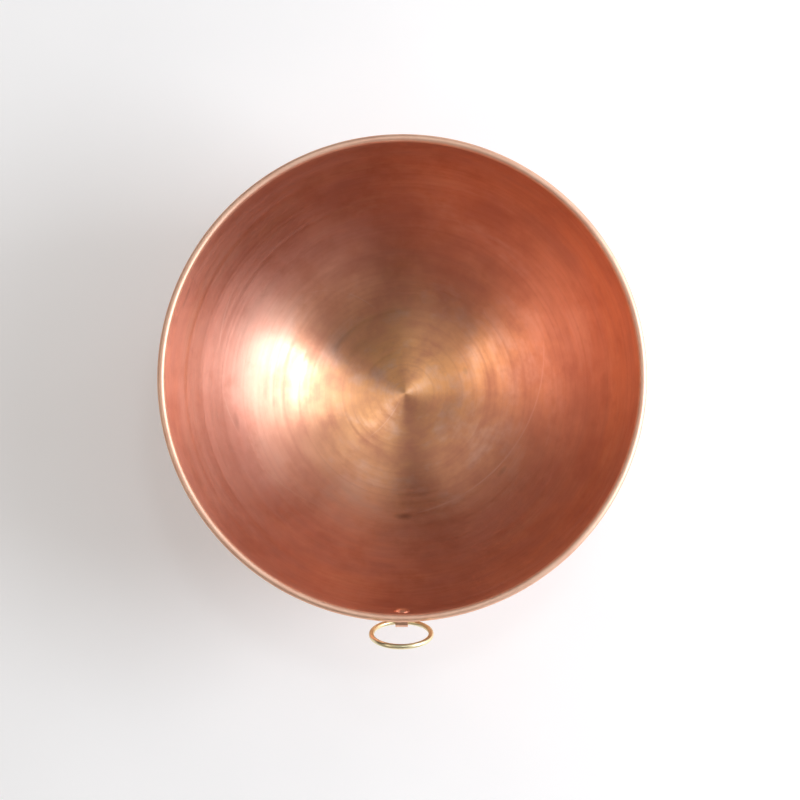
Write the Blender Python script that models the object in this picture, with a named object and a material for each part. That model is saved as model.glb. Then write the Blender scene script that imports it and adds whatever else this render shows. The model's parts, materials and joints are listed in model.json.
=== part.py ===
"""A spun copper beating bowl with a brass hanging ring, in metres, +Z up.

The bowl stands upright with its mouth at +Z. The origin is on the bowl's axis, in the plane it stands on.
The hanging ring is on the -Y side, held by a folded copper strap that one rivet fastens just below the rim.

Sections are drawn with arcs whose angles are measured from straight down: 0 is down, 90 is outward,
180 is up and 270 is inward.
"""
import math

import bmesh
import bpy
from mathutils import Matrix, Vector

# Bowl
RIM_RADIUS = 0.150        # to the outside of the rolled rim
BOWL_HEIGHT = 0.138       # from the standing plane to the top of the rolled rim
SHEET = 0.0011            # copper sheet of the bowl
BASE_SINK = 0.003         # how far the bottom is pressed flat, up from the full sphere
BASE_BLEND = 0.120        # radius of the curve that joins the flat bottom to the sphere
ROLL_INNER = 0.0012       # inside radius of the rolled rim
ROLL_END = -22.0          # angle at which the rolled edge stops, just short of the wall
WIRE_RADIUS = 0.00095     # steel wire inside the rolled rim

# Strap and rivet, placed in the wall's own frame: n is outward from the wall and t is up along it
GAP = 0.0003              # clearance between pieces that touch
RIVET_DROP = 0.0165       # rivet's centre below the top of the rim
STRAP_SHEET = 0.0009      # strip that the strap is folded from
STRAP_WIDTH = 0.0076
STRAP_TAIL = 0.0055       # strap below the rivet's centre
STRAP_REACH = 0.00855     # ring's axis above the rivet's centre, along the wall
STRAP_CORNER = 0.0024     # rounding of the tail's corners
LOOP_RADIUS = 0.0024      # inside of the loop that holds the ring
FOLD_RADIUS = 0.00135     # middle line of the bend between the loop and the outer tail
SHANK_RADIUS = 0.0020
HEAD_RADIUS = 0.0050      # domed head inside the bowl
HEAD_HEIGHT = 0.0018
HEAD_GAP = 0.0006         # under the domed head's middle; less at its edge, where the wall curves in
PEEN_RADIUS = 0.0034      # hammered head on the outside
PEEN_HEIGHT = 0.0013

# Ring
RING_RADIUS = 0.0179      # middle line of the ring
RING_WIRE = 0.0016        # radius of its wire
RING_LEAN = 22.4          # lean of the ring at rest, outward from upright, in degrees

TURN_STEPS = 72           # facets round the bowl; a multiple of 4 puts an edge line at -Y

COPPER = ("copper", (0.80, 0.40, 0.27), 0.30)
STEEL = ("steel", (0.50, 0.50, 0.51), 0.45)
BRASS = ("brass", (0.86, 0.70, 0.38), 0.22)


def clear_scene():
    for item in list(bpy.data.objects):
        bpy.data.objects.remove(item, do_unlink=True)


def metal(name, colour, roughness):
    """A metallic Principled material, made once and then reused."""
    material = bpy.data.materials.get(name)
    if material is None:
        material = bpy.data.materials.new(name)
        material.use_nodes = True
        shader = material.node_tree.nodes["Principled BSDF"]
        shader.inputs["Base Color"].default_value = (*colour, 1.0)
        shader.inputs["Roughness"].default_value = roughness
        shader.inputs["Metallic"].default_value = 1.0
    return material


def toward(angle):
    """The unit step in a section's plane at an angle in degrees, measured from straight down."""
    return Vector((math.sin(math.radians(angle)), -math.cos(math.radians(angle))))


def arc(centre, radius, start, end, steps):
    """Points on an arc in a section's plane, both ends included."""
    angles = (start + (end - start) * i / steps for i in range(steps + 1))
    return [centre + radius * toward(angle) for angle in angles]


def add_object(name, mesh_maker, finish, crease=40.0):
    """Turn a bmesh into a named, smooth-shaded object with its own material."""
    bmesh.ops.remove_doubles(mesh_maker, verts=mesh_maker.verts, dist=1e-7)
    bmesh.ops.recalc_face_normals(mesh_maker, faces=mesh_maker.faces)
    mesh = bpy.data.meshes.new(name)
    mesh_maker.to_mesh(mesh)
    mesh_maker.free()
    mesh.shade_smooth()
    mesh.set_sharp_from_angle(angle=math.radians(crease))
    mesh.materials.append(metal(*finish))
    item = bpy.data.objects.new(name, mesh)
    bpy.context.collection.objects.link(item)
    return item


def turned(section, steps, closed=False):
    """A bmesh of a section of (radius, height) points turned about Z.

    An open section starts and ends on the axis. A closed one is joined to its own start.
    """
    maker = bmesh.new()
    verts = [maker.verts.new((point[0], 0.0, point[1])) for point in section]
    edges = [maker.edges.new(pair) for pair in zip(verts, verts[1:])]
    if closed:
        edges.append(maker.edges.new((verts[-1], verts[0])))
    bmesh.ops.spin(maker, geom=verts + edges, cent=(0, 0, 0), axis=(0, 0, 1), angle=math.tau,
                   steps=steps, use_merge=True)
    bmesh.ops.remove_doubles(maker, verts=maker.verts, dist=1e-7)
    bmesh.ops.dissolve_degenerate(maker, edges=maker.edges, dist=1e-7)
    return maker


def ring_of_wire(radius, wire_radius, steps, sides):
    """A bmesh of a round wire bent into a ring about Z."""
    circle = arc(Vector((radius, 0.0)), wire_radius, 0.0, 360.0, sides)[:-1]
    return turned(circle, steps, closed=True)


# The bowl's section: flat bottom, blend, sphere, and the rim rolled outward, each tangent to the next.
roll_centre = Vector((RIM_RADIUS - ROLL_INNER - SHEET, BOWL_HEIGHT - ROLL_INNER - SHEET))
rim_angle = 2.0 * math.degrees(math.atan2(roll_centre.y + BASE_SINK + ROLL_INNER, roll_centre.x))
sphere_radius = roll_centre.x / math.sin(math.radians(rim_angle)) - ROLL_INNER
sphere_centre = Vector((0.0, sphere_radius - BASE_SINK))
blend_height = sphere_centre.y - BASE_BLEND
flat_radius = math.sqrt((sphere_radius - BASE_BLEND) ** 2 - blend_height ** 2)
blend_angle = math.degrees(math.atan2(flat_radius, blend_height))
blend_centre = Vector((flat_radius, BASE_BLEND))

# The wall's own frame at the rivet, in the plane x = 0
rivet_angle = math.degrees(math.acos((sphere_centre.y - BOWL_HEIGHT + RIVET_DROP) / sphere_radius))
rivet_spot = sphere_centre + sphere_radius * toward(rivet_angle)
out_step = toward(rivet_angle)
up_step = toward(rivet_angle + 90.0)
wall_frame = Matrix((
    (1.0, 0.0, 0.0, 0.0),
    (0.0, -out_step.x, -up_step.x, -rivet_spot.x),
    (0.0, out_step.y, up_step.y, rivet_spot.y),
    (0.0, 0.0, 0.0, 1.0),
))

# The strap's layers and its loop, as (n, t) in the wall's frame
inner_layer = GAP + STRAP_SHEET / 2
outer_layer = inner_layer + STRAP_SHEET + GAP
loop_middle = LOOP_RADIUS + STRAP_SHEET / 2
loop_centre = Vector((inner_layer + loop_middle, STRAP_REACH))
ring_axis = wall_frame @ Vector((0.0, loop_centre.x, loop_centre.y))


def bowl_face(depth):
    """One face of the bowl's sheet, from near the axis to the rolled edge, at a depth into the sheet."""
    blend = arc(blend_centre, BASE_BLEND - depth, 0.0, blend_angle, 5)
    sphere = arc(sphere_centre, sphere_radius - depth, blend_angle, rim_angle, 13)
    roll = arc(roll_centre, ROLL_INNER + depth, rim_angle + 180.0, ROLL_END, 9)
    return blend + sphere[1:] + roll[1:]


def make_bowl(hole_cutter):
    outside = [Vector((0.0, 0.0))] + bowl_face(0.0)
    inside = [Vector((0.0, SHEET))] + bowl_face(SHEET)
    bowl = add_object("bowl_shell", turned(outside + inside[::-1], TURN_STEPS), COPPER)
    cut(bowl, hole_cutter)


def make_rim_wire():
    wire = add_object("rim_wire", ring_of_wire(roll_centre.x, WIRE_RADIUS, TURN_STEPS, 8), STEEL)
    wire.location.z = roll_centre.y


def strap_face(side):
    """One face of the folded strip: side 1 is the outside of the loop and side -1 is its inside."""
    half = side * STRAP_SHEET / 2
    lean = math.degrees(math.asin((loop_centre.x - outer_layer - FOLD_RADIUS) / (loop_middle + FOLD_RADIUS)))
    fold_centre = loop_centre + (loop_middle + FOLD_RADIUS) * toward(-lean)
    loop = arc(loop_centre, loop_middle + half, 270.0, -lean, 14)
    fold = arc(fold_centre, FOLD_RADIUS - half, 180.0 - lean, 270.0, 4)
    inner_tail = Vector((inner_layer - half, -STRAP_TAIL))
    outer_tail = Vector((outer_layer + half, -STRAP_TAIL))
    return [inner_tail] + loop + fold[1:] + [outer_tail]


def make_strap(hole_cutter):
    maker = bmesh.new()
    outline = strap_face(1) + strap_face(-1)[::-1]
    verts = [maker.verts.new((-STRAP_WIDTH / 2, point.x, point.y)) for point in outline]
    side = maker.faces.new(verts)
    extruded = bmesh.ops.extrude_face_region(maker, geom=[side])["geom"]
    far_verts = [part for part in extruded if isinstance(part, bmesh.types.BMVert)]
    bmesh.ops.translate(maker, verts=far_verts, vec=(STRAP_WIDTH, 0.0, 0.0))
    corners = [edge for edge in maker.edges if is_tail_corner(edge)]
    bmesh.ops.bevel(maker, geom=corners, offset=STRAP_CORNER, segments=3, profile=0.5, affect="EDGES")
    strap = add_object("ring_strap", maker, COPPER, crease=30.0)
    strap.matrix_world = wall_frame
    cut(strap, hole_cutter)


def is_tail_corner(edge):
    """True for the short edges at the tails' four corners, which run through the strip's thickness."""
    a, b = (vert.co for vert in edge.verts)
    at_tail = max(a.z, b.z) < -STRAP_TAIL + 1e-6
    return at_tail and abs(a.x - b.x) < 1e-6 and abs(abs(a.y - b.y) - STRAP_SHEET) < 1e-5


def dome(base, height, radius, steps, sign):
    """A shallow dome's edge-to-crown points, from its rim at height base to its crown on the axis."""
    curve = (radius ** 2 + height ** 2) / (2 * height)
    reach = math.asin(radius / curve)
    crown = []
    for i in range(steps + 1):
        angle = reach * (1 - i / steps)
        rise = curve * math.cos(angle) - (curve - height)
        crown.append(Vector((curve * math.sin(angle), base + sign * rise)))
    return crown


def make_rivet():
    """The rivet, turned about its own axis: domed head inside the bowl, shank, hammered head outside."""
    head_base = -SHEET - HEAD_GAP
    peen_base = outer_layer + STRAP_SHEET / 2 + GAP
    inside = dome(head_base, HEAD_HEIGHT, HEAD_RADIUS, 4, -1)[::-1]
    shank = [Vector((SHANK_RADIUS, head_base)), Vector((SHANK_RADIUS, peen_base))]
    outside = dome(peen_base, PEEN_HEIGHT, PEEN_RADIUS, 3, 1)
    rivet = add_object("strap_rivet", turned(inside + shank + outside, 24), COPPER)
    rivet.matrix_world = wall_frame @ Matrix.Rotation(math.radians(-90.0), 4, "X")


def make_hole_cutter():
    """A guide that cuts the rivet's hole, with clearance, through the wall and both layers of the strap."""
    maker = bmesh.new()
    bmesh.ops.create_cone(maker, cap_ends=True, segments=24, radius1=SHANK_RADIUS + GAP,
                          radius2=SHANK_RADIUS + GAP, depth=0.012)
    cutter = add_object("rivet_hole_cutter", maker, COPPER)
    cutter.matrix_world = wall_frame @ Matrix.Rotation(math.radians(-90.0), 4, "X")
    cutter.hide_render = True
    cutter.display_type = "WIRE"
    return cutter


def cut(item, cutter):
    hole = item.modifiers.new("rivet_hole", "BOOLEAN")
    hole.operation = "DIFFERENCE"
    hole.solver = "EXACT"
    hole.object = cutter


def make_ring():
    """The hanging ring, with its origin on the strap's axis, where it turns."""
    maker = ring_of_wire(RING_RADIUS, RING_WIRE, 48, 12)
    stand_up = Matrix.Translation((0.0, 0.0, RING_RADIUS)) @ Matrix.Rotation(math.radians(90.0), 4, "X")
    bmesh.ops.transform(maker, matrix=stand_up, verts=maker.verts)
    ring = add_object("hanging_ring", maker, BRASS)
    ring.location = ring_axis
    ring.rotation_euler.x = math.radians(RING_LEAN)


clear_scene()
rivet_hole_cutter = make_hole_cutter()
make_bowl(rivet_hole_cutter)
make_rim_wire()
make_strap(rivet_hole_cutter)
make_rivet()
make_ring()
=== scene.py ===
"""Looks of a spun copper beating bowl with a brass hanging ring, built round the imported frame. Metres, +Z up.

Sections are drawn with arcs whose angles are measured from straight down: 0 is down, 90 is outward,
180 is up and 270 is inward.
"""

import json
import math

import bmesh
import bpy
import numpy as np
from mathutils import Matrix, Vector, noise


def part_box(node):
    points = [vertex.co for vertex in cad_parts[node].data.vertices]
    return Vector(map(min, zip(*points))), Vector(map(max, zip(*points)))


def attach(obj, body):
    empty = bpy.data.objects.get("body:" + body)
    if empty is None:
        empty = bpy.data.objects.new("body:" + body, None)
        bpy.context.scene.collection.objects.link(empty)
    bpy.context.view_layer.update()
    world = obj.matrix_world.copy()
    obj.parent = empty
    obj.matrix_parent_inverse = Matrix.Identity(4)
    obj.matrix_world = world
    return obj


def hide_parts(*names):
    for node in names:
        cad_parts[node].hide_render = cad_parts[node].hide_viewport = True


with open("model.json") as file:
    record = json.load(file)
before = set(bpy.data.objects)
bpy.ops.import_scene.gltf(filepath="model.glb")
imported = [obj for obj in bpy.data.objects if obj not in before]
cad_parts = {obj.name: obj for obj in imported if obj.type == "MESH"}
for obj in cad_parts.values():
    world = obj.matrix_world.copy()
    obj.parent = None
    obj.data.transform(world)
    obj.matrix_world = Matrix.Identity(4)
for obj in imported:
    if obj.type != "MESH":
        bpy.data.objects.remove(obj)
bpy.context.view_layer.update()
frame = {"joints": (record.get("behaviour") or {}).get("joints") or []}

# ---------------------------------------------------------------- sizes, from the frame where it has them
bowl_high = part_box("bowl_shell")[1]
RIM_RADIUS = bowl_high.x
BOWL_HEIGHT = bowl_high.z
SHEET = 0.0011            # copper sheet of the bowl
BASE_SINK = 0.003         # how far the bottom is pressed flat, up from the full sphere
BASE_BLEND = 0.120        # radius of the curve that joins the flat bottom to the sphere
ROLL_INNER = 0.0012       # inside radius of the rolled rim
ROLL_END = -22.0          # angle at which the rolled edge stops
ROLL_MARGIN = 0.0002      # faces this close to the roll share its brighter finish
WIRE_RADIUS = 0.00095     # steel wire inside the rolled rim

STRAP_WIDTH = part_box("ring_strap")[1].x * 2
STRAP_SHEET = 0.0009
STRAP_TAIL = 0.0055       # strap below the rivet's centre
STRAP_CORNER = 0.0024     # radius of the rounded corners of the strap's tails
STRAP_EDGE = 0.00018      # width of the rounding on the strap's other edges
LOOP_RADIUS = 0.0024      # inside of the loop that holds the ring
FOLD_RADIUS = 0.00135     # middle line of the bend between the loop and the outer tail
LAYER_GAP = 0.0001        # between the strap's layers, and between the wall and what lies on it

RIVET_DROP = 0.0165       # rivet's centre below the top of the rim
SHANK_RADIUS = 0.0020
HEAD_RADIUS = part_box("strap_rivet")[1].x
HEAD_HEIGHT = 0.0020
PEEN_RADIUS = 0.0034      # the outer head, hammered over the strap
PEEN_HEIGHT = 0.0014
HEAD_EDGE = 0.0003        # straight edge of both heads below the dome
PEEN_DENT = 0.00022       # deepest hammer mark on the outer head
HEAD_DENT = 0.00005       # deepest unevenness of the head inside the bowl

RING_WIRE = 0.0016        # radius of the ring's wire
RING_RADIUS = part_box("hanging_ring")[1].x - RING_WIRE
RING_LEAN = math.radians(22.4)
ring_axis = Vector(frame["joints"][0]["pos_m"])

AROUND = 192              # steps round the bowl and its rim wire
NEAR = 1e-5               # places closer than this count as the same

# Faint curved scratches on the copper: each is an arc round a centre, at a reach from it.
SCRATCHES = (
    ((-0.047, 0.013, 0.030), 0.0549),
    ((-0.012, 0.018, 0.060), 0.1080),
)
SCRATCH_CORE = 0.0001     # half width of a scratch at full strength
SCRATCH_EDGE = 0.0005     # half width at which it has faded out

POLE_SOFTNESS = 0.03      # radius below which the rings' noise slows down, so that no spokes meet at the pole

# ---------------------------------------------------------------- camera, from above and slightly in front
VIEW_DISTANCE = 1.2       # from the middle of the rim
VIEW_TILT = math.radians(5.2)
VIEW_TURN = math.radians(1.0)
VIEW_AIM = Vector((-0.0009, -0.0151, BOWL_HEIGHT))
LENS = 88.4               # millimetres


def make_camera():
    """A camera over the bowl that keeps +Y upright in the picture, so the ring is at the bottom."""
    data = bpy.data.cameras.new("camera")
    data.lens = LENS
    data.sensor_width = 36.0
    camera = bpy.data.objects.new("camera", data)
    bpy.context.scene.collection.objects.link(camera)
    rim_middle = Vector((0.0, 0.0, BOWL_HEIGHT))
    view_side = Vector((math.sin(VIEW_TURN), -math.sin(VIEW_TILT), math.cos(VIEW_TILT)))
    place = rim_middle + VIEW_DISTANCE * view_side
    back = (place - VIEW_AIM).normalized()
    right = Vector((0.0, 1.0, 0.0)).cross(back).normalized()
    turn = Matrix((right, back.cross(right), back)).transposed().to_4x4()
    camera.matrix_world = Matrix.Translation(place) @ turn
    bpy.context.scene.camera = camera


make_camera()


# ---------------------------------------------------------------- sections and meshes
def toward(angle):
    """The unit step in a section's plane at an angle in degrees, measured from straight down."""
    return Vector((math.sin(math.radians(angle)), -math.cos(math.radians(angle))))


def arc(centre, radius, start, end, steps):
    """Points on an arc in a section's plane, both ends included."""
    angles = (start + (end - start) * i / steps for i in range(steps + 1))
    return [centre + radius * toward(angle) for angle in angles]


def add_mesh(name, mesh, material, crease=35.0):
    """Link a smooth-shaded mesh as a named piece with one material, sharp where it bends past crease."""
    mesh.validate()
    mesh.shade_smooth()
    mesh.set_sharp_from_angle(angle=math.radians(crease))
    mesh.materials.append(material)
    piece = bpy.data.objects.new(name, mesh)
    bpy.context.scene.collection.objects.link(piece)
    return piece


def turned_mesh(name, section, steps, closed=False):
    """A mesh of a section of (radius, height) points turned about Z.

    An open section starts and ends on the axis, and each end is one vertex. A closed one joins up.
    The section runs so that the material is on its left.
    """
    body = section if closed else section[1:-1]
    rows = len(body)
    angles = np.arange(steps) * math.tau / steps
    radius = np.array([point[0] for point in body])
    height = np.array([point[1] for point in body])
    verts = np.stack([np.outer(radius, np.cos(angles)), np.outer(radius, np.sin(angles)),
                      np.repeat(height[:, None], steps, axis=1)], axis=-1).reshape(-1, 3).tolist()
    faces = []
    for row in range(rows if closed else rows - 1):
        low = row * steps
        high = (row + 1) % rows * steps
        for i in range(steps):
            j = (i + 1) % steps
            faces.append((low + i, low + j, high + j, high + i))
    if not closed:
        first = len(verts)
        verts.append((0.0, 0.0, section[0][1]))
        verts.append((0.0, 0.0, section[-1][1]))
        last_row = (rows - 1) * steps
        for i in range(steps):
            j = (i + 1) % steps
            faces.append((first, j, i))
            faces.append((first + 1, last_row + i, last_row + j))
    mesh = bpy.data.meshes.new(name)
    mesh.from_pydata(verts, [], faces)
    return mesh


# The bowl's section: flat bottom, blend, sphere, and the rim rolled outward, each tangent to the next.
roll_centre = Vector((RIM_RADIUS - ROLL_INNER - SHEET, BOWL_HEIGHT - ROLL_INNER - SHEET))
rim_angle = 2.0 * math.degrees(math.atan2(roll_centre.y + BASE_SINK + ROLL_INNER, roll_centre.x))
sphere_radius = roll_centre.x / math.sin(math.radians(rim_angle)) - ROLL_INNER
sphere_centre = Vector((0.0, sphere_radius - BASE_SINK))
blend_height = sphere_centre.y - BASE_BLEND
flat_radius = math.sqrt((sphere_radius - BASE_BLEND) ** 2 - blend_height ** 2)
blend_angle = math.degrees(math.atan2(flat_radius, blend_height))
blend_centre = Vector((flat_radius, BASE_BLEND))

# The wall's own frame at the rivet: its Y points out of the wall and its Z up along it.
rivet_angle = math.degrees(math.acos((sphere_centre.y - BOWL_HEIGHT + RIVET_DROP) / sphere_radius))
rivet_spot = sphere_centre + sphere_radius * toward(rivet_angle)
out_step = toward(rivet_angle)
up_step = toward(rivet_angle + 90.0)
wall_frame = Matrix((
    (1.0, 0.0, 0.0, 0.0),
    (0.0, -out_step.x, -up_step.x, -rivet_spot.x),
    (0.0, out_step.y, up_step.y, rivet_spot.y),
    (0.0, 0.0, 0.0, 1.0),
))
ring_in_wall = wall_frame.inverted() @ ring_axis
loop_centre = Vector((ring_in_wall.y, ring_in_wall.z))
loop_middle = LOOP_RADIUS + STRAP_SHEET / 2
inner_layer = loop_centre.x - loop_middle
outer_layer = inner_layer + STRAP_SHEET + LAYER_GAP


# ---------------------------------------------------------------- materials
class Nodes:
    """A short way to write a material's node tree."""

    def __init__(self, name):
        self.material = bpy.data.materials.new(name)
        self.material.use_nodes = True
        self.tree = self.material.node_tree
        self.shader = self.tree.nodes["Principled BSDF"]

    def put(self, socket, value):
        if isinstance(value, bpy.types.NodeSocket):
            self.tree.links.new(value, socket)
        else:
            socket.default_value = value

    def add(self, kind, settings=None, **inputs):
        """Make a node, set its properties and its inputs (by name, with _ for spaces), return the node."""
        node = self.tree.nodes.new("ShaderNode" + kind)
        for key, value in (settings or {}).items():
            setattr(node, key, value)
        for key, value in inputs.items():
            self.put(node.inputs[key.replace("_", " ")], value)
        return node

    def math(self, operation, first, second=0.0):
        node = self.tree.nodes.new("ShaderNodeMath")
        node.operation = operation
        self.put(node.inputs[0], first)
        self.put(node.inputs[1], second)
        return node.outputs[0]

    def point(self):
        """The place on the piece, in the row frame at rest."""
        return self.add("TexCoord").outputs["Object"]

    def noise(self, vector, scale, detail=3.0, rough=0.5):
        node = self.add("TexNoise", Vector=vector, Scale=scale, Detail=detail, Roughness=rough)
        return node.outputs["Fac"]

    def ramp(self, value, low, high, to_low=0.0, to_high=1.0):
        """Stretch a value from the range low..high to to_low..to_high, with both ends held."""
        node = self.tree.nodes.new("ShaderNodeMapRange")
        for index, number in enumerate((value, low, high, to_low, to_high)):
            self.put(node.inputs[index], number)
        return node.outputs[0]

    def mix(self, factor, first, second):
        node = self.add("Mix", {"data_type": "RGBA"})
        self.put(node.inputs[0], factor)
        self.put(node.inputs[6], first)
        self.put(node.inputs[7], second)
        return node.outputs[2]

    def tint(self, colour, tone, value, low, high, most):
        """Mix a tone into a colour: none of it where the value is at low, and most where it is at high."""
        return self.mix(self.ramp(value, low, high, 0.0, most), colour, tone)

    def bump(self, height, distance, strength):
        return self.add("Bump", Height=height, Distance=distance, Strength=strength).outputs["Normal"]

    def finish(self, **inputs):
        for key, value in inputs.items():
            self.put(self.shader.inputs[key.replace("_", " ")], value)
        return self.material


def axis_radius(nodes):
    """The distance from the bowl's axis, with the x, y and z it is worked out from."""
    x, y, z = nodes.add("SeparateXYZ", Vector=nodes.point()).outputs
    squares = nodes.math("ADD", nodes.math("MULTIPLY", x, x), nodes.math("MULTIPLY", y, y))
    return nodes.math("SQRT", squares), x, y, z


def spin_lines(nodes, across, turns):
    """Coordinates for noise drawn out into rings round Z: fast up the wall and slow round the bowl."""
    radius, x, y, z = axis_radius(nodes)
    round_off = nodes.math("ADD", radius, POLE_SOFTNESS)
    slope = nodes.math("ARCTAN2", radius, nodes.math("SUBTRACT", sphere_centre.y, z))
    rings = nodes.add("CombineXYZ",
                      X=nodes.math("MULTIPLY", nodes.math("DIVIDE", x, round_off), turns),
                      Y=nodes.math("MULTIPLY", nodes.math("DIVIDE", y, round_off), turns),
                      Z=nodes.math("MULTIPLY", slope, across * sphere_radius))
    return rings.outputs[0]


def arc_scratch(nodes, place, centre, reach):
    """A faint curved scratch: the part of a thin spherical shell round centre that a soft noise lets show."""
    away = nodes.add("VectorMath", {"operation": "DISTANCE"})
    nodes.put(away.inputs[0], place)
    nodes.put(away.inputs[1], centre)
    miss = nodes.math("ABSOLUTE", nodes.math("SUBTRACT", away.outputs["Value"], reach))
    line = nodes.ramp(miss, SCRATCH_CORE, SCRATCH_EDGE, 1.0, 0.0)
    stretch = nodes.ramp(nodes.noise(place, 18.0, 1.0), 0.52, 0.64)
    return nodes.math("MULTIPLY", line, stretch)


def speck_mask(nodes):
    """Small dark ovals drawn out round the bowl: one in the middle of every fortieth cell or so."""
    cells = nodes.add("TexVoronoi", Vector=spin_lines(nodes, 95.0, 5.0), Scale=1.0)
    speck = nodes.ramp(cells.outputs["Distance"], 0.06, 0.32, 0.50, 0.0)
    cell_number = nodes.add("SeparateColor", Color=cells.outputs["Color"]).outputs[0]
    return nodes.math("MULTIPLY", speck, nodes.math("GREATER_THAN", cell_number, 0.975))


# Copper's tones, from freshly worn to stained; the pink, orange and gold ones carry painted light.
WORN = (0.94, 0.62, 0.48, 1.0)
POLE_REFLECTION_GOLD = (0.985, 0.495, 0.205, 1.0)
SECOND_BOUNCE_ORANGE = (0.87, 0.44, 0.29, 1.0)
LIT_SIDE_PINK = (0.86, 0.46, 0.35, 1.0)
BROWN = (0.60, 0.235, 0.165, 1.0)
SPECK = (0.22, 0.09, 0.06, 1.0)


def bowl_copper():
    """Spun copper: fine rings from the spinning tool, a golden middle that is painted reflection, a pink side
    and an orange side that are painted light, a mottled patina and a few specks.
    """
    nodes = Nodes("bowl_copper")
    place = nodes.point()
    radius, x = axis_radius(nodes)[:2]
    cloud = nodes.noise(place, 14.0, 5.0, 0.6)
    stain = nodes.noise(place, 45.0, 4.0, 0.65)
    patch = nodes.noise(spin_lines(nodes, 42.0, 2.4), 1.0, 5.0, 0.6)
    fine_rings = nodes.noise(spin_lines(nodes, 1000.0, 1.0), 1.0, 1.0, 0.5)
    coarse_rings = nodes.noise(spin_lines(nodes, 420.0, 0.6), 1.0, 2.0, 0.5)

    # Painted light: pinker on the -X side, where the window's light falls straight on the wall, and more orange
    # on the +X side, which the light reaches after a second bounce, with a ragged change between them.
    side = nodes.math("ADD", x, nodes.ramp(stain, 0.35, 0.65, -0.06, 0.06))
    colour = nodes.mix(nodes.ramp(side, -0.08, 0.08), LIT_SIDE_PINK, SECOND_BOUNCE_ORANGE)
    # Painted reflection: golden towards the middle, where the bottom reflects the light over the bowl.
    colour = nodes.tint(colour, POLE_REFLECTION_GOLD, radius, 0.110, 0.03, 0.9)
    colour = nodes.tint(colour, BROWN, cloud, 0.44, 0.64, 0.50)
    colour = nodes.tint(colour, BROWN, patch, 0.48, 0.68, 0.45)
    colour = nodes.tint(colour, WORN, patch, 0.47, 0.32, 0.45)
    colour = nodes.tint(colour, BROWN, stain, 0.50, 0.72, 0.40)
    colour = nodes.tint(colour, BROWN, coarse_rings, 0.45, 0.75, 0.22)
    colour = nodes.mix(speck_mask(nodes), colour, SPECK)
    scratches = 0.0
    for centre, reach in SCRATCHES:
        scratches = nodes.math("ADD", scratches, arc_scratch(nodes, place, centre, reach))
    colour = nodes.mix(nodes.math("MULTIPLY", scratches, 0.30), colour, WORN)

    haze = nodes.math("ADD", nodes.math("MULTIPLY", patch, 0.6), nodes.math("MULTIPLY", coarse_rings, 0.4))
    rings = nodes.math("MULTIPLY", nodes.math("ADD", fine_rings, coarse_rings), 0.5)
    tangent = nodes.add("Tangent", {"direction_type": "RADIAL", "axis": "Z"}).outputs[0]
    return nodes.finish(Base_Color=colour, Roughness=nodes.ramp(haze, 0.35, 0.65, 0.30, 0.45),
                        Normal=nodes.bump(rings, 0.00006, 0.6), Tangent=tangent,
                        Metallic=1.0, Anisotropic=0.75, Anisotropic_Rotation=0.25)


def rim_copper():
    """The rolled rim, rubbed bright by hands and cloths and made lighter still as painted highlight, with a
    little brown left in the dents.
    """
    nodes = Nodes("rim_copper")
    place = nodes.point()
    cloud = nodes.noise(place, 60.0, 4.0, 0.6)
    marks = nodes.noise(place, 700.0, 3.0, 0.6)
    # The bright tone is partly wear on the rim and partly painted highlight.
    bright = (0.98, 0.64, 0.47, 1.0)
    dull = (0.86, 0.46, 0.32, 1.0)
    return nodes.finish(Base_Color=nodes.tint(bright, dull, cloud, 0.42, 0.70, 0.5),
                        Roughness=nodes.ramp(marks, 0.3, 0.7, 0.50, 0.60), Metallic=1.0,
                        Normal=nodes.bump(marks, 0.00005, 0.4))


def hand_copper(name, grain):
    """Copper of a hand-made piece: satin, with a soft patina, small marks of grain per metre, and a light tone
    made paler as a painted highlight on the rivet's head.
    """
    nodes = Nodes(name)
    place = nodes.point()
    cloud = nodes.noise(place, 180.0, 4.0, 0.6)
    marks = nodes.noise(place, grain, 3.0, 0.6)
    # The bright tone is partly painted highlight, raised for the rivet's head; the strap shares it.
    bright = (0.97, 0.62, 0.46, 1.0)
    dull = (0.70, 0.34, 0.22, 1.0)
    return nodes.finish(Base_Color=nodes.tint(bright, dull, cloud, 0.35, 0.7, 0.6),
                        Roughness=nodes.ramp(marks, 0.3, 0.7, 0.34, 0.44), Metallic=1.0,
                        Normal=nodes.bump(marks, 0.00008, 0.5))


def ring_brass():
    """Pale yellow brass wire, bright where hands and the hook have polished it, duller elsewhere."""
    nodes = Nodes("ring_brass")
    place = nodes.point()
    cloud = nodes.noise(place, 120.0, 4.0, 0.6)
    marks = nodes.noise(place, 2500.0, 2.0, 0.6)
    bright = (0.97, 0.86, 0.55, 1.0)
    dull = (0.80, 0.62, 0.33, 1.0)
    return nodes.finish(Base_Color=nodes.tint(bright, dull, cloud, 0.4, 0.7, 0.55),
                        Roughness=nodes.ramp(cloud, 0.3, 0.7, 0.29, 0.38), Metallic=1.0,
                        Normal=nodes.bump(marks, 0.00003, 0.4))


def rim_steel():
    """Drawn steel wire with a dull, slightly rusted skin."""
    nodes = Nodes("rim_steel")
    rust = nodes.noise(nodes.point(), 300.0, 4.0, 0.6)
    bare = (0.50, 0.50, 0.51, 1.0)
    rusty = (0.30, 0.17, 0.10, 1.0)
    return nodes.finish(Base_Color=nodes.tint(bare, rusty, rust, 0.5, 0.7, 0.6),
                        Roughness=nodes.ramp(rust, 0.3, 0.7, 0.35, 0.6), Metallic=1.0)


# ---------------------------------------------------------------- pieces
def settle(piece, body, node):
    """Attach the piece to the body it moves with, and hide the CAD node it stands for."""
    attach(piece, body)
    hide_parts(node)


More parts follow.
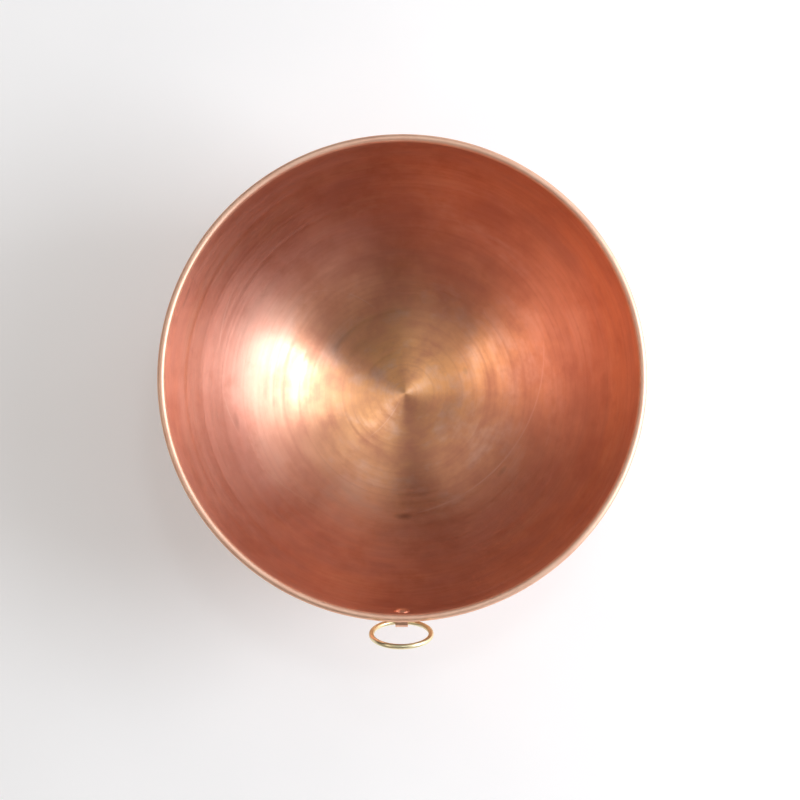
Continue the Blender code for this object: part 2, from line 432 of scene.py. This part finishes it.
def bowl_face(depth):
    """One face of the bowl's sheet, from beside the axis to the rolled edge, at a depth into the sheet."""
    flat = [Vector((flat_radius * i / 8, depth)) for i in range(1, 8)]
    blend = arc(blend_centre, BASE_BLEND - depth, 0.0, blend_angle, 16)
    sphere = arc(sphere_centre, sphere_radius - depth, blend_angle, rim_angle, 90)
    roll = arc(roll_centre, ROLL_INNER + depth, rim_angle + 180.0, ROLL_END, 30)
    return flat + blend + sphere[1:] + roll[1:]


def make_bowl():
    outside = [Vector((0.0, 0.0))] + bowl_face(0.0)
    inside = [Vector((0.0, SHEET))] + bowl_face(SHEET)
    mesh = turned_mesh("bowl", outside + inside[::-1], AROUND)
    bowl = add_mesh("bowl", mesh, bowl_copper(), crease=60.0)
    mesh.materials.append(rim_copper())
    for face in mesh.polygons:
        off_roll = Vector((face.center.xy.length, face.center.z)) - roll_centre
        if off_roll.length < ROLL_INNER + SHEET + ROLL_MARGIN:
            face.material_index = 1
    settle(bowl, "bowl", "bowl_shell")


def wire_ring(name, radius, wire_radius, steps, sides):
    """A round wire bent into a ring about Z."""
    circle = arc(Vector((radius, 0.0)), wire_radius, 0.0, 360.0, sides)[:-1]
    return turned_mesh(name, circle, steps, closed=True)


def make_rim_wire():
    mesh = wire_ring("wire_in_rim", roll_centre.x, WIRE_RADIUS, AROUND, 16)
    mesh.transform(Matrix.Translation((0.0, 0.0, roll_centre.y)))
    settle(add_mesh("wire_in_rim", mesh, rim_steel()), "bowl", "rim_wire")


def strap_face(side):
    """One face of the folded strip: side 1 is the outside of the loop and side -1 is its inside."""
    half = side * STRAP_SHEET / 2
    lean = math.degrees(math.asin((loop_centre.x - outer_layer - FOLD_RADIUS) / (loop_middle + FOLD_RADIUS)))
    fold_centre = loop_centre + (loop_middle + FOLD_RADIUS) * toward(-lean)
    loop = arc(loop_centre, loop_middle + half, 270.0, -lean, 48)
    fold = arc(fold_centre, FOLD_RADIUS - half, 180.0 - lean, 270.0, 14)
    inner_tail = Vector((inner_layer - half, -STRAP_TAIL))
    outer_tail = Vector((outer_layer + half, -STRAP_TAIL))
    return [inner_tail] + loop + fold[1:] + [outer_tail]


def is_tail_corner(edge):
    """True for the short edges at the tails' corners, which run through the strip's thickness."""
    a, b = (vert.co for vert in edge.verts)
    at_tail = max(a.z, b.z) < -STRAP_TAIL + NEAR
    return at_tail and abs(a.x - b.x) < NEAR and abs(abs(a.y - b.y) - STRAP_SHEET) < NEAR


def make_strap():
    maker = bmesh.new()
    outline = strap_face(1) + strap_face(-1)[::-1]
    side = maker.faces.new([maker.verts.new((-STRAP_WIDTH / 2, point.x, point.y)) for point in outline])
    extruded = bmesh.ops.extrude_face_region(maker, geom=[side])["geom"]
    far_verts = [part for part in extruded if isinstance(part, bmesh.types.BMVert)]
    bmesh.ops.translate(maker, verts=far_verts, vec=(STRAP_WIDTH, 0.0, 0.0))
    corners = [edge for edge in maker.edges if is_tail_corner(edge)]
    bmesh.ops.bevel(maker, geom=corners, offset=STRAP_CORNER, segments=10, profile=0.5, affect="EDGES")
    bmesh.ops.recalc_face_normals(maker, faces=maker.faces)
    mesh = bpy.data.meshes.new("strap")
    maker.to_mesh(mesh)
    maker.free()
    mesh.transform(wall_frame)
    strap = add_mesh("strap", mesh, hand_copper("strap_copper", 900.0))
    soft_edges = strap.modifiers.new("soft_edges", "BEVEL")
    soft_edges.width = STRAP_EDGE
    soft_edges.segments = 3
    soft_edges.limit_method = "ANGLE"
    soft_edges.angle_limit = math.radians(40.0)
    settle(strap, "bowl", "ring_strap")


def dome(base, height, radius, steps, sign):
    """Points over a shallow dome, from its foot at height base to its crown on the axis."""
    curve = (radius ** 2 + height ** 2) / (2 * height)
    reach = math.asin(radius / curve)
    crown = []
    for i in range(steps + 1):
        angle = reach * (1 - i / steps)
        rise = curve * math.cos(angle) - (curve - height)
        crown.append(Vector((curve * math.sin(angle), base + sign * rise)))
    return crown


def make_rivet():
    """The rivet, turned about its own axis: domed head inside the bowl, shank, hammered head outside."""
    head_base = -SHEET - LAYER_GAP
    peen_base = outer_layer + STRAP_SHEET / 2
    inside = dome(head_base - HEAD_EDGE, HEAD_HEIGHT - HEAD_EDGE, HEAD_RADIUS, 20, -1)[::-1]
    inside += [Vector((HEAD_RADIUS, head_base)), Vector((SHANK_RADIUS, head_base))]
    shank = [Vector((SHANK_RADIUS, peen_base)), Vector((PEEN_RADIUS, peen_base))]
    outside = dome(peen_base + HEAD_EDGE, PEEN_HEIGHT - HEAD_EDGE, PEEN_RADIUS, 16, 1)
    mesh = turned_mesh("rivet", inside + shank + outside, 64)
    for vert in mesh.vertices:
        if vert.co.z > peen_base + HEAD_EDGE / 2:
            vert.co.z -= PEEN_DENT * abs(noise.noise(vert.co * 700.0))
        if vert.co.z < head_base - HEAD_EDGE / 2:
            vert.co.z += HEAD_DENT * abs(noise.noise(vert.co * 450.0 + Vector((3.0, 1.0, 2.0))))
    mesh.transform(wall_frame @ Matrix.Rotation(math.radians(-90.0), 4, "X"))
    rivet = add_mesh("rivet", mesh, hand_copper("rivet_copper", 1400.0), crease=50.0)
    settle(rivet, "bowl", "strap_rivet")


def make_ring():
    mesh = wire_ring("ring", RING_RADIUS, RING_WIRE, 160, 40)
    mesh.transform(Matrix.Rotation(math.radians(90.0), 4, "X"))
    mesh.transform(Matrix.Translation((0.0, 0.0, RING_RADIUS)))
    mesh.transform(Matrix.Translation(ring_axis) @ Matrix.Rotation(RING_LEAN, 4, "X"))
    settle(add_mesh("ring", mesh, ring_brass()), "ring", "hanging_ring")


# ---------------------------------------------------------------- studio
LIGHT_DISTANCE = 2.0
WORLD_GLOW = 0.045
FLOOR_HALF = 4.0
DAY = (0.94, 1.0, 1.08)
PLAIN = (1.0, 1.0, 1.0)
WARM = (1.0, 0.88, 0.78)

# Name, azimuth, angle from the axis, width, height, brightness and colour.
LIGHTS = (
    ("window", -1.0, 57.0, 1.05, 0.70, 9.5, DAY),
    ("window_wide", 4.0, 60.0, 2.6, 0.5, 2.8, DAY),
    ("window_top", 6.0, 44.0, 1.1, 0.6, 2.0, DAY),
    ("window_foot", 10.0, 76.0, 2.2, 0.5, 2.3, DAY),
    ("low_side", 305.0, 58.0, 1.3, 0.7, 0.75, PLAIN),
    ("low_front", 268.0, 83.5, 1.8, 0.4, 1.5, WARM),
    ("front", 58.0, 14.0, 0.22, 0.22, 14.0, DAY),
    ("overhead", 25.0, 26.0, 1.0, 0.5, 0.6, PLAIN),
    ("back", 240.0, 22.0, 0.8, 0.5, 1.1, PLAIN),
    ("back_low", 65.0, 78.0, 0.6, 0.5, 2.2, WARM),
    ("ceiling", 90.0, 14.0, 1.8, 1.4, 0.20, PLAIN),
    ("fill_top", 60.0, 46.0, 1.3, 0.55, 1.1, PLAIN),
    ("fill_left", 138.0, 42.0, 1.5, 0.55, 1.2, PLAIN),
    ("fill_far", 190.0, 42.0, 0.9, 0.6, 2.6, WARM),
    ("fill_low", 205.0, 76.0, 1.6, 0.5, 0.2, PLAIN),
)


def make_floor():
    corners = [(x * FLOOR_HALF, y * FLOOR_HALF, 0.0) for x, y in ((-1, -1), (1, -1), (1, 1), (-1, 1))]
    mesh = bpy.data.meshes.new("floor")
    mesh.from_pydata(corners, [], [(0, 1, 2, 3)])
    nodes = Nodes("floor_pale")
    tone = nodes.ramp(nodes.noise(nodes.point(), 6.0, 3.0), 0.3, 0.7)
    colour = nodes.mix(tone, (0.80, 0.79, 0.78, 1.0), (0.84, 0.83, 0.82, 1.0))
    lit_floor = nodes.finish(Base_Color=colour, Roughness=0.8, Emission_Color=(1.0, 0.99, 0.98, 1.0),
                             Emission_Strength=0.25)
    floor = add_mesh("floor", mesh, lit_floor)


def soft_light(name, azimuth, from_axis, width, height, brightness, colour):
    """A rectangular light that faces the bowl, placed by azimuth from +X and angle from +Z, in degrees."""
    data = bpy.data.lights.new(name, "AREA")
    data.shape = "RECTANGLE"
    data.size = width
    data.size_y = height
    data.energy = brightness * math.pi * width * height
    data.color = colour
    light = bpy.data.objects.new(name, data)
    bpy.context.scene.collection.objects.link(light)
    around = math.radians(azimuth)
    off = math.radians(from_axis)
    away = Vector((math.sin(off) * math.cos(around), math.sin(off) * math.sin(around), math.cos(off)))
    light.location = Vector((0.0, 0.0, BOWL_HEIGHT / 2)) + LIGHT_DISTANCE * away
    light.rotation_euler = (-away).to_track_quat("-Z", "Y").to_euler()


def make_world(strength, colour):
    world = bpy.data.worlds.new("studio")
    world.use_nodes = True
    background = world.node_tree.nodes["Background"]
    background.inputs["Color"].default_value = (*colour, 1.0)
    background.inputs["Strength"].default_value = strength
    bpy.context.scene.world = world


make_bowl()
make_rim_wire()
make_strap()
make_rivet()
make_ring()
make_floor()
for light_row in LIGHTS:
    soft_light(*light_row)
make_world(WORLD_GLOW, WARM)
bpy.context.scene.view_settings.view_transform = "Standard"
